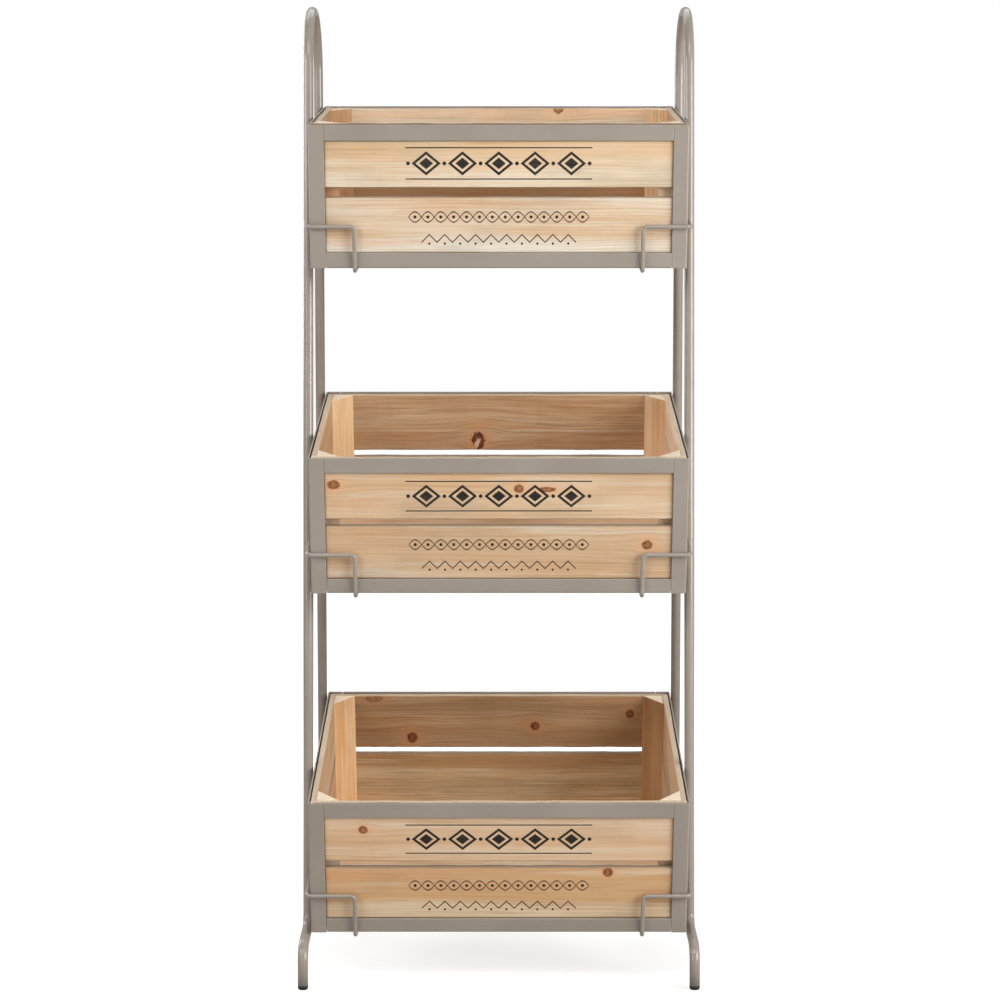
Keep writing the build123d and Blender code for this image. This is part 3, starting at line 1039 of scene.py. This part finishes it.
def post(tier, corner, across, back, chance, tone):
    """A three-cornered post: a rounded triangle carried up the crate, drawn in at both ends."""
    low_z, high_z = corner[2]
    start = np.array([corner[0] - across * post_edge, corner[1] - back * post_edge, 0.0])
    far_x = start + np.array([across, 0, 0]) * (post_leg + 2 * post_edge)
    far_y = start + np.array([0, back, 0]) * (post_leg + 2 * post_edge)
    begin = (start + far_x) / 2
    order = [begin, far_x, far_y, start, begin]
    if across * back < 0:
        order = order[::-1]
    outline = bent_path(order, [post_edge] * 3, arc_step=radians(30))[:-1]
    centre = (start + far_x + far_y) / 3
    ease = np.linspace(0, pi / 2, 4)[1:]
    rise = np.linspace(low_z + post_end_edge, high_z - post_end_edge, 24)
    ends = post_end_edge * (1 - np.cos(ease))
    drawn = np.concatenate([ends[::-1], np.zeros(len(rise)), ends])
    short = post_end_edge * (1 - np.sin(ease))
    up = np.concatenate([low_z + short[::-1], rise, high_z - short])
    size = 1 - drawn / (post_leg * triangle_inner_share)
    rings = centre + (outline - centre)[None] * size[:, None, None]
    rings = rings + up[:, None, None] * np.array([0, 0, 1])
    from_corner = rings - start - np.array([0, 0, (low_z + high_z) / 2])
    own = np.roll(from_corner, 1, axis=-1)
    points, faces = skin(tier.place(rings))
    half_size = ((high_z - low_z) / 2, far_off, far_off)
    return points, faces, marks(own, half_size, open_window, 0, tone, chance)


board_looks = {
    "top_front_upper": {
        "bands": [Band(24 * mm, 26 * mm, warm_wood, 0.6), Band(-30 * mm, 14 * mm, sap_wood, 0.5)],
    },
    "top_front_lower": {
        "bands": [Band(-30 * mm, 18 * mm, sap_wood, 0.75)],
        "ring_width": 3.4 * mm,
    },
    "mid_front_upper": {
        "bands": [Band(-12 * mm, 20 * mm, warm_wood, 0.6)],
        "knots": [
            Knot(-191 * mm, 5 * mm, 7 * mm, 5.5 * mm),
            Knot(23.5 * mm, 0, 5.5 * mm, 5 * mm),
            Knot(56 * mm, -1 * mm, 10 * mm, 3 * mm),
        ],
    },
    "mid_front_lower": {
        "bands": [Band(10 * mm, 30 * mm, warm_wood, 0.6)],
        "knots": [Knot(173 * mm, 13.5 * mm, 6 * mm, 5.5 * mm)],
    },
    "bottom_front_upper": {
        "bands": [Band(-5 * mm, 12 * mm, warm_wood, 0.5)],
        "knots": [Knot(-157 * mm, 3 * mm, 5 * mm, 4.5 * mm)],
    },
    "bottom_front_lower": {
        "bands": [Band(14 * mm, 22 * mm, warm_wood, 0.8), Band(-30 * mm, 20 * mm, sap_wood, 0.7)],
        "knots": [Knot(127 * mm, 31 * mm, 5.5 * mm, 5 * mm)],
    },
    "top_back_upper": {
        "bands": [Band(31 * mm, 4 * mm, flush_wood, 0.8)],
        "contrast": 1.4,
        "knots": [Knot(-75 * mm, 34 * mm, 6 * mm, 5 * mm)],
    },
    "top_back_lower": {},
    "mid_back_upper": {
        "bands": [
            Band(30 * mm, 6 * mm, late_wood, 0.3),
            Band(-26 * mm, 15 * mm, late_wood, 0.28, 2 * mm),
            Band(-10.5 * mm, 1.2 * mm, sap_wood, 0.8, 1.5 * mm),
        ],
        "knots": [Knot(26.5 * mm, -24 * mm, 7.5 * mm, 11 * mm, torn=1.0)],
        "contrast": 1.7,
        "weather": 0.4,
    },
    "mid_back_lower": {},
    "bottom_back_upper": {
        "bands": [Band(20 * mm, 8 * mm, grey_wood, 0.5), Band(-20 * mm, 10 * mm, grey_wood, 0.4)],
        "contrast": 1.5,
        "weather": 0.4,
        "knots": [
            Knot(112 * mm, -22 * mm, 6.5 * mm, 7 * mm),
            Knot(161 * mm, 32 * mm, 11 * mm, 5 * mm, strength=0.45),
            Knot(-46.5 * mm, -6 * mm, 6 * mm, 6 * mm),
            Knot(-169 * mm, 11 * mm, 5.5 * mm, 6 * mm),
        ],
    },
    "bottom_back_lower": {
        "bands": [Band(27 * mm, 13 * mm, late_wood, 0.95), Band(-6 * mm, 9 * mm, grey_wood, 0.45)],
        "contrast": 1.7,
        "weather": 0.5,
    },
}
designs = {"upper": lozenge_print, "lower": braid_print}
gap_sides = {"upper": -1, "lower": 1}
plain_pine = pine("plain_pine")
post_pine = pine("post_pine", pith=(12 * mm, 30 * mm))

# Tones of single boards and posts, as factors on red, green and blue. Besides each board's own tone, they
# hold painted light and shade: the back boards, the posts and the right side of the middle crate are lighter
# or darker according to how light falls inside the crates.
board_tones_and_painted_light = {
    "top_front_upper": (1.04, 1.09, 1.1),
    "top_front_lower": (1.02, 1.08, 1.15),
    "mid_front_upper": (1.04, 1.08, 1.12),
    "mid_front_lower": (0.96, 0.97, 0.97),
    "bottom_front_upper": (1.06, 1.04, 1.03),
    "bottom_front_lower": (1.0, 0.92, 0.8),
    "top_back_upper": (1.22, 1.43, 1.64),
    "top_back_lower": (0.68, 0.55, 0.43),
    "mid_back_upper": (0.87, 0.8, 0.71),
    "mid_back_lower": (1.0, 0.92, 0.8),
    "bottom_back_upper": (0.65, 0.55, 0.44),
    "bottom_back_lower": (1.0, 1.05, 0.99),
    "top_left_front": (0.78, 0.56, 0.4),
    "top_left_rear": (0.87, 0.7, 0.55),
    "top_right_rear": (1.3, 1.24, 1.12),
    "mid_left_rear": (1.18, 1.1, 0.92),
    "mid_right_rear": (1.19, 1.13, 1.06),
    "bottom_left_rear": (1.18, 1.05, 0.85),
    "bottom_right_rear": (0.65, 0.47, 0.3),
    "mid_right_side": (1.25, 1.3, 1.4),
}
side_tone = (0.85, 0.8, 0.74)
# Floor boards paled as painted light, against the shade they lie in inside the crates
floor_tone_with_painted_light = (1.3, 1.42, 1.55)


def timber_piece(tier, name, shapes, material, node):
    """A piece of timber, which stands for one of the crate's nodes."""
    piece = make_piece(
        f"{tier.body}_{name}", shapes, material, tier.body, [f"{tier.body}_{node}"]
    )
    even_normals(piece)


def front_and_back(tier, chance):
    """The printed boards in front and the plain ones behind. What comes back is the heights they span."""
    spans = {}
    steel_end = tier.width / 2 - strip_width
    for wall, turn in (("front", front_turn), ("back", back_turn)):
        for row, design in designs.items():
            node = f"{wall}_{row}_slat"
            look = f"{tier.name}_{wall}_{row}"
            low, high = tier.box(node)
            spans[wall, row] = low[2], high[2]
            printed = design if wall == "front" else None
            material = pine(f"pine_{look}", design=printed, **board_looks[look])
            shape = board(tier, low, high, turn, chance, steel_end, gap_sides[row], board_tones_and_painted_light[look])
            timber_piece(tier, f"{wall}_{row}_board", [shape], material, node)
    return spans


def side_boards(tier, spans, chance):
    """Plain boards on both sides, in line with those in front but with a rim height of their own."""
    steel_end = tier.depth / 2 - strip_width
    for side_name, turn in (("left", left_turn), ("right", right_turn)):
        low, high = tier.box(f"{side_name}_slats")
        rows = {"upper": (spans["front", "upper"][0], high[2]), "lower": spans["front", "lower"]}
        tone = board_tones_and_painted_light.get(f"{tier.name}_{side_name}_side", side_tone)
        shapes = []
        for row, span in rows.items():
            low[2], high[2] = span
            shapes.append(board(tier, low, high, turn, chance, steel_end, gap_sides[row], tone))
        timber_piece(tier, f"{side_name}_boards", shapes, plain_pine, f"{side_name}_slats")


def floor_boards(tier, chance):
    """Plain boards behind each other, each between the front and rear edge of a packed one."""
    low, high = tier.box("floor_boards")
    edges = np.unique(np.round(tier.points("floor_boards")[1], 5))
    shapes = []
    for front_edge, rear_edge in zip(edges[::2], edges[1::2]):
        low[1], high[1] = front_edge, rear_edge
        shapes.append(board(tier, low, high, floor_turn, chance, tone=floor_tone_with_painted_light))
    timber_piece(tier, "floor_slats", shapes, plain_pine, "floor_boards")


def corner_posts(tier, spans, chance):
    """Four posts, each as high as the board in front of it or behind it."""
    low, high = tier.box("corner_posts")
    shapes = []
    for side_name, x, across in (("left", low[0], 1), ("right", high[0], -1)):
        for wall, end_name, y, back in (("front", "front", low[1], 1), ("back", "rear", high[1], -1)):
            corner = (x, y, (low[2], spans[wall, "upper"][1]))
            tone = board_tones_and_painted_light.get(f"{tier.name}_{side_name}_{end_name}", 1.0)
            shapes.append(post(tier, corner, across, back, chance, tone))
    timber_piece(tier, "posts", shapes, post_pine, "corner_posts")


chance = np.random.default_rng(11)
for tier in tiers:
    make_steel(tier)
    spans = front_and_back(tier, chance)
    side_boards(tier, spans, chance)
    floor_boards(tier, chance)
    corner_posts(tier, spans, chance)
    nails = frame["nodes"][f"{tier.body}_nails"]
    nails.data.materials.clear()
    nails.data.materials.append(bright_steel)


# Floor, backdrop, light and camera

floor_reach = 12.0
floor_pale = srgb(190, 189, 187)
floor_mottle = srgb(194, 193, 192)
near_glow, far_glow = 0.68, 0.98
near_reach, far_reach = 0.3, 1.6
ambient = 0.05
mirrored_share = 0.4
camera_dip = 2.5


def white_floor():
    """A pale floor that takes shadows near the object and goes over into the white backdrop further off."""
    pale = Finish("white_floor", {"Roughness": 0.9, "Emission Strength": 1.0})
    place = pale.place()
    mottle = pale.noise(place, 3.0, 2.0)
    reach = pale.node("ShaderNodeVectorMath", {"operation": "LENGTH"}, {0: place}, "Value")
    seen = pale.node("ShaderNodeLightPath", {}, {}, "Is Camera Ray")
    glow = near_glow + pale.rise(reach, near_reach, far_reach) * (far_glow - near_glow)
    pale.feed({
        "Base Color": pale.mix(floor_pale, floor_mottle, mottle),
        "Emission Color": seen * glow,
    })
    return pale.material


floor_mesh = bpy.data.meshes.new("floor")
floor_points = np.array([(-1, -1, 0), (1, -1, 0), (1, 1, 0), (-1, 1, 0)]) * floor_reach
floor_mesh.from_pydata(floor_points.tolist(), [], [[0, 1, 2, 3]])
floor_mesh.materials.append(white_floor())
floor = bpy.data.objects.new("floor", floor_mesh)
bpy.context.scene.collection.objects.link(floor)

world = bpy.data.worlds.new("studio")
bpy.context.scene.world = world
world.use_nodes = True
sky = Network(world.node_tree, "Background", {"Color": (1, 1, 1, 1)})
seen, mirrored = sky.node("ShaderNodeLightPath", {}, {}, ("Is Camera Ray", "Is Glossy Ray"))
sky.feed({"Strength": ambient + seen.or_more(mirrored * mirrored_share) * (1 - ambient)})


def soft_box(name, place, target, size, power):
    """A rectangular soft light that faces its target."""
    light = bpy.data.lights.new(name, "AREA")
    light.shape = "RECTANGLE"
    light.size, light.size_y = size
    light.energy = power
    lamp = bpy.data.objects.new(name, light)
    aim = np.array(target) - np.array(place)
    lamp.location = place
    lamp.rotation_euler = (atan2(np.hypot(aim[0], aim[1]), -aim[2]), 0, atan2(-aim[0], aim[1]))
    bpy.context.scene.collection.objects.link(lamp)


soft_box("right_box", (2.1, -1.35, 1.0), (0, 0, 0.65), (1.4, 1.3), 53)
soft_box("left_box", (-2.15, -0.95, 1.52), (0, 0, 1.05), (1.7, 0.55), 20)
soft_box("left_strip", (-1.8, -1.85, 0.9), (0, 0, 0.65), (0.4, 1.5), 12)
soft_box("right_strip", (1.75, -1.85, 0.9), (0, 0, 0.65), (0.3, 1.5), 6)
soft_box("high_box", (0, -2.2, 2.6), (0, 0, 0.7), (1.4, 1.0), 24)
soft_box("back_box", (-2.2, 1.7, 1.4), (0, 0, 0.6), (1.2, 1.2), 28)
soft_box("back_top_box", (-0.3, 1.6, 3.6), (0, 0, 0.6), (3.4, 2.0), 44)

camera_data = bpy.data.cameras.new("camera")
camera_data.sensor_width = 36
camera_data.lens = 81
camera = bpy.data.objects.new("camera", camera_data)
camera.location = (0.0014, -2.752, 0.682)
camera.rotation_euler = (radians(90 - camera_dip), 0, 0)
bpy.context.scene.collection.objects.link(camera)
bpy.context.scene.camera = camera
bpy.context.scene.view_settings.view_transform = "Standard"
